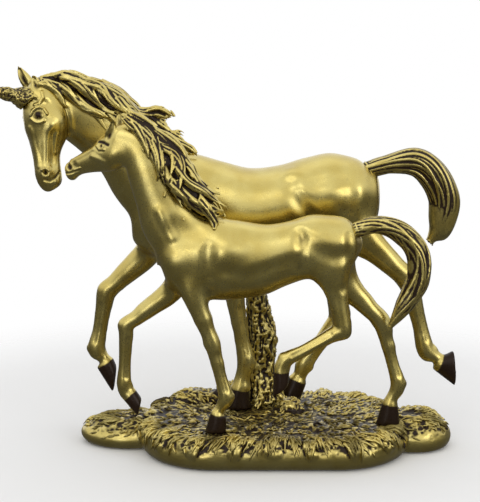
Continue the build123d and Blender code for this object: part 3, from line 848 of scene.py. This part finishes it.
# Tree trunk: bark in long broken ridges
trunk = {"voxel": 0.7, "ridge": 1.5, "fine": 0.6, "stretch": 0.24, "bend": 1.6, "washAndShade": 0.5}
trunkPiece = twinOf(["tree_trunk"])
applied(trunkPiece, "REMESH", mode="VOXEL", voxel_size=trunk["voxel"] * mm)
co, normal = readMesh(trunkPiece)
co = relax(co, readEdges(trunkPiece), 6)
bends = np.stack([grain(co, 9, seed) for seed in (1, 2, 3)], 1)
stretched = co * np.array([1, 1, trunk["stretch"]]) + bends * trunk["bend"]
bark = 0.7 - 1.8 * np.abs(grain(stretched, 4.0, 4))
bark += 0.35 - 0.9 * np.abs(grain(stretched, 1.8, 6))
co += normal * (trunk["ridge"] * bark + trunk["fine"] * grain(co, 1.5, 8))[:, None]
writeMesh(trunkPiece, co)
# the wash in the bark grooves, and painted shade in the trunk's wider hollows
barkWashAndShade = trunk["washAndShade"] + hollows(trunkPiece, 8) / 0.25 + hollows(trunkPiece, 40) / 1.2
complete(trunkPiece, "treeTrunk", ["tree_trunk"], hairWashShade, barkWashAndShade)

# Base: rough rock with a fringe of grass over a smooth rim
base = {"voxel": 0.95, "rough": 1.3, "chip": 0.8}
basePiece = twinOf(["rock_base"])
applied(basePiece, "REMESH", mode="VOXEL", voxel_size=base["voxel"] * mm)
co, normal = readMesh(basePiece)
rise = np.clip((co[:, 2] - 8) / 8, 0, 1) * np.clip(normal[:, 2] + 0.6, 0, 1)
rock = base["rough"] * (grain(co, 9, 1) + 0.6 * grain(co, 4, 2)) - base["chip"] * np.abs(grain(co, 2.2, 5))
co += normal * (rise * rock)[:, None]
co = boxed(co)
writeMesh(basePiece, co)

grass = {"fringe": 420, "tufts": 1300, "long": (8, 17), "short": (3, 7), "wide": 1.0}


def crawl(tree, spot, heading, length, step=1.8):
    # a line over the ground from a spot, following the surface
    spot, normal, _, _ = tree.find_nearest(Vector(spot) * mm)
    points, outward = [np.array(spot) / mm], [np.array(normal)]
    heading = Vector(heading)
    for _ in range(max(3, int(length / step))):
        heading = (heading - normal * heading.dot(normal)).normalized()
        spot, normal, _, _ = tree.find_nearest(spot + heading * step * mm)
        points.append(np.array(spot) / mm)
        outward.append(np.array(normal))
    return np.array(points), np.array(outward)


def blade(bag, path, outward, wide, high):
    sides = 5
    along = np.gradient(path, axis=0)
    across = np.cross(along, outward)
    across /= np.maximum(np.linalg.norm(across, axis=1), 1e-6)[:, None]
    share = np.linspace(0, 1, len(path))
    size = np.interp(share, [0, 0.3, 0.7, 1], [0.35, 1, 0.8, 0.1])
    lift = np.interp(share, [0, 0.5, 1], [-0.3, 0.4, 0.9])
    turn = np.linspace(0, 2 * np.pi, sides, endpoint=False) + math.pi / 2
    ring = path[:, None] + outward[:, None] * lift[:, None, None]
    ring = ring + across[:, None] * (wide * size)[:, None, None] * np.cos(turn)[None, :, None]
    ring = ring + outward[:, None] * (high * size)[:, None, None] * np.sin(turn)[None, :, None]
    first = bag["count"]
    bag["spots"].append(ring.reshape(-1, 3))
    bag["count"] += len(path) * sides
    for i in range(len(path) - 1):
        for j in range(sides):
            k = (j + 1) % sides
            a, b = first + i * sides, first + (i + 1) * sides
            bag["faces"].append((a + j, a + k, b + k, b + j))
    bag["faces"].append(tuple(first + j for j in reversed(range(sides))))
    bag["faces"].append(tuple(bag["count"] - sides + j for j in range(sides)))


def makeGrass(tree, seed):
    dice = np.random.default_rng(seed)
    bag = {"spots": [], "faces": [], "count": 0}
    for i in range(grass["fringe"]):
        angle = 2 * math.pi * i / grass["fringe"] + dice.uniform(-0.01, 0.01)
        away = Vector((math.cos(angle), math.sin(angle), 0))
        inset = dice.choice([0, 5, 10]) + dice.uniform(-2, 2)
        rim, _, _, _ = tree.ray_cast(Vector((7, 0, 15)) * mm + away * 0.3, -away)
        if not rim:
            continue
        spot = np.array(rim) / mm - np.array(away) * (4 + inset) + np.array([0, 0, 10])
        heading = np.array(away) + dice.uniform(-0.25, 0.25, 3) * np.array([1, 1, 0])
        path, outward = crawl(tree, spot, heading, dice.uniform(*grass["long"]))
        blade(bag, path, outward, grass["wide"] * dice.uniform(0.7, 1.2), dice.uniform(0.8, 1.5))
    for i in range(grass["tufts"]):
        x, y = dice.uniform(-118, 120), dice.uniform(-55, 55)
        spot, normal, _, _ = tree.ray_cast(Vector((x, y, 60)) * mm, Vector((0, 0, -1)))
        if not spot or normal.z < 0.3:
            continue
        heading = np.array([x - 7, y * 1.6, 0]) / 60 + dice.uniform(-0.8, 0.8, 3) * np.array([1, 1, 0])
        path, outward = crawl(tree, np.array(spot) / mm, heading, dice.uniform(*grass["short"]), 1.4)
        blade(bag, path, outward, grass["wide"] * dice.uniform(0.6, 1.1), dice.uniform(0.5, 1.1))
    mesh = bpy.data.meshes.new("baseGrass")
    mesh.from_pydata((boxed(np.vstack(bag["spots"])) * mm).tolist(), [], bag["faces"])
    obj = bpy.data.objects.new("baseGrass", mesh)
    bpy.context.collection.objects.link(obj)
    pick(obj)
    bpy.ops.object.mode_set(mode="EDIT")
    bpy.ops.mesh.select_all(action="SELECT")
    bpy.ops.mesh.normals_make_consistent(inside=False)
    bpy.ops.object.mode_set(mode="OBJECT")
    return obj


grassPiece = makeGrass(treeOf(basePiece), 7)
rimShade = np.clip((9 - co[:, 2]) / 6, 0, 1) * 0.25
complete(basePiece, "rockBase", ["rock_base"], hairWashShade,
         np.maximum(0.7 * rise + hollows(basePiece, 8) / 0.4, rimShade))
co, _ = readMesh(grassPiece)
complete(grassPiece, "baseGrass", [], hairWashShade, 0.3 + 0.5 * grain(co, 11, 3))
print("base dressed")

# CAD nodes that keep showing: the felt under the base and the steel pins and dowels
feltTone = {"plain": (0.012, 0.030, 0.016), "glow": (0.020, 0.045, 0.024), "dark": (0.005, 0.012, 0.006)}
steelTone = {"plain": (0.42, 0.42, 0.43), "glow": (0.50, 0.50, 0.51), "dark": (0.10, 0.10, 0.10)}
feltCloth = finish("feltCloth", **feltTone, rough=0.85, metal=0.0)
pinSteel = finish("pinSteel", **steelTone, rough=0.35)
for name, node in frame["nodes"].items():
    if not node.hide_render:
        node.data.materials.clear()
        node.data.materials.append(feltCloth if name == "base_felt" else pinSteel)

# Studio: a pale floor that fades into a white surround, soft lamps, and the dim room behind the camera
studio = {"floor": 0.8, "fade": (230, 420), "surround": 1.0, "lamps": [
    ("keyLamp", (-350, -800, 900), (700, 450), 0.9),
    ("frontLamp", (-450, -1150, 250), (450, 450), 1.2),
    ("sideLamp", (800, -850, 420), (600, 560), 2.1),
    ("topLamp", (0, 250, 1100), (900, 500), 0.35),
], "room": 2000, "roomFloor": 0.5, "roomTop": 900, "roomBack": 1300, "roomDark": 0.1}

for name, place, size, power in studio["lamps"]:
    data = bpy.data.lights.new(name, "AREA")
    data.shape = "RECTANGLE"
    data.size, data.size_y = size[0] * mm, size[1] * mm
    data.energy = power
    lamp = bpy.data.objects.new(name, data)
    bpy.context.collection.objects.link(lamp)
    lamp.location = Vector(place) * mm
    lamp.rotation_euler = (Vector((0, 0, 0.13)) - lamp.location).to_track_quat("-Z", "Y").to_euler()


def stageFinish(name):
    material = bpy.data.materials.new(name)
    material.use_nodes = True
    nodes, links = material.node_tree.nodes, material.node_tree.links
    nodes.clear()
    return material, nodes, links, nodes.new("ShaderNodeOutputMaterial"), nodes.new("ShaderNodeTexCoord")


deselect()
bpy.ops.mesh.primitive_circle_add(vertices=96, radius=studio["fade"][1] * mm, fill_type="NGON")
floor = bpy.context.object
floor.name = "floor"
floorFinish, nodes, links, out, place = stageFinish("floorFinish")
cover = nodes.new("ShaderNodeBsdfDiffuse")
cover.inputs["Color"].default_value = (studio["floor"], studio["floor"], studio["floor"], 1)
nothing = nodes.new("ShaderNodeBsdfTransparent")
reach = nodes.new("ShaderNodeVectorMath")
reach.operation = "LENGTH"
links.new(place.outputs["Object"], reach.inputs[0])
fade = nodes.new("ShaderNodeMapRange")
fade.interpolation_type = "SMOOTHSTEP"
fade.inputs[1].default_value = studio["fade"][0] * mm
fade.inputs[2].default_value = studio["fade"][1] * mm
links.new(reach.outputs["Value"], fade.inputs[0])
either = nodes.new("ShaderNodeMixShader")
links.new(fade.outputs[0], either.inputs[0])
links.new(cover.outputs[0], either.inputs[1])
links.new(nothing.outputs[0], either.inputs[2])
links.new(either.outputs[0], out.inputs[0])
floor.data.materials.append(floorFinish)

deselect()
bpy.ops.mesh.primitive_uv_sphere_add(segments=64, ring_count=48, radius=studio["room"] * mm)
room = bpy.context.object
room.name = "dimRoom"
roomCuts = [((0, 0, studio["roomTop"]), (0, 0, 1), False), ((0, 0, studio["roomFloor"]), (0, 0, -1), True),
            ((0, studio["roomBack"], 0), (0, 1, 0), False)]
for spot, normal, filled in roomCuts:
    bpy.ops.object.mode_set(mode="EDIT")
    bpy.ops.mesh.select_all(action="SELECT")
    bpy.ops.mesh.bisect(plane_co=Vector(spot) * mm, plane_no=normal, clear_outer=True, use_fill=filled)
    bpy.ops.object.mode_set(mode="OBJECT")
roomFinish, nodes, links, out, place = stageFinish("roomFinish")
parts = nodes.new("ShaderNodeSeparateXYZ")
links.new(place.outputs["Object"], parts.inputs[0])
glow = nodes.new("ShaderNodeMapRange")
glow.interpolation_type = "SMOOTHSTEP"
glowRange = (0, studio["roomTop"] * mm, studio["roomDark"], studio["surround"])
for socket, value in zip(glow.inputs[1:5], glowRange):
    socket.default_value = value
links.new(parts.outputs["Z"], glow.inputs[0])
dim = nodes.new("ShaderNodeEmission")
links.new(glow.outputs[0], dim.inputs["Strength"])
links.new(dim.outputs[0], out.inputs[0])
room.data.materials.append(roomFinish)
room.visible_camera = room.visible_diffuse = room.visible_shadow = False

world = bpy.data.worlds.new("surround")
bpy.context.scene.world = world
world.use_nodes = True
backdrop = world.node_tree.nodes["Background"]
backdrop.inputs["Color"].default_value = (1, 1, 1, 1)
backdrop.inputs["Strength"].default_value = studio["surround"]

cameraData = bpy.data.cameras.new("photoCamera")
cameraData.sensor_fit = "HORIZONTAL"
cameraData.sensor_width = 36.0
cameraData.lens = 36.0 * photoView["focus"] / photoView["wide"]
camera = bpy.data.objects.new("photoCamera", cameraData)
bpy.context.collection.objects.link(camera)
camera.location = Vector(photoView["place"]) * mm
camera.rotation_euler = (math.radians(90 - photoView["pitch"]), 0, 0)
bpy.context.scene.camera = camera
bpy.context.scene.view_settings.view_transform = "Standard"
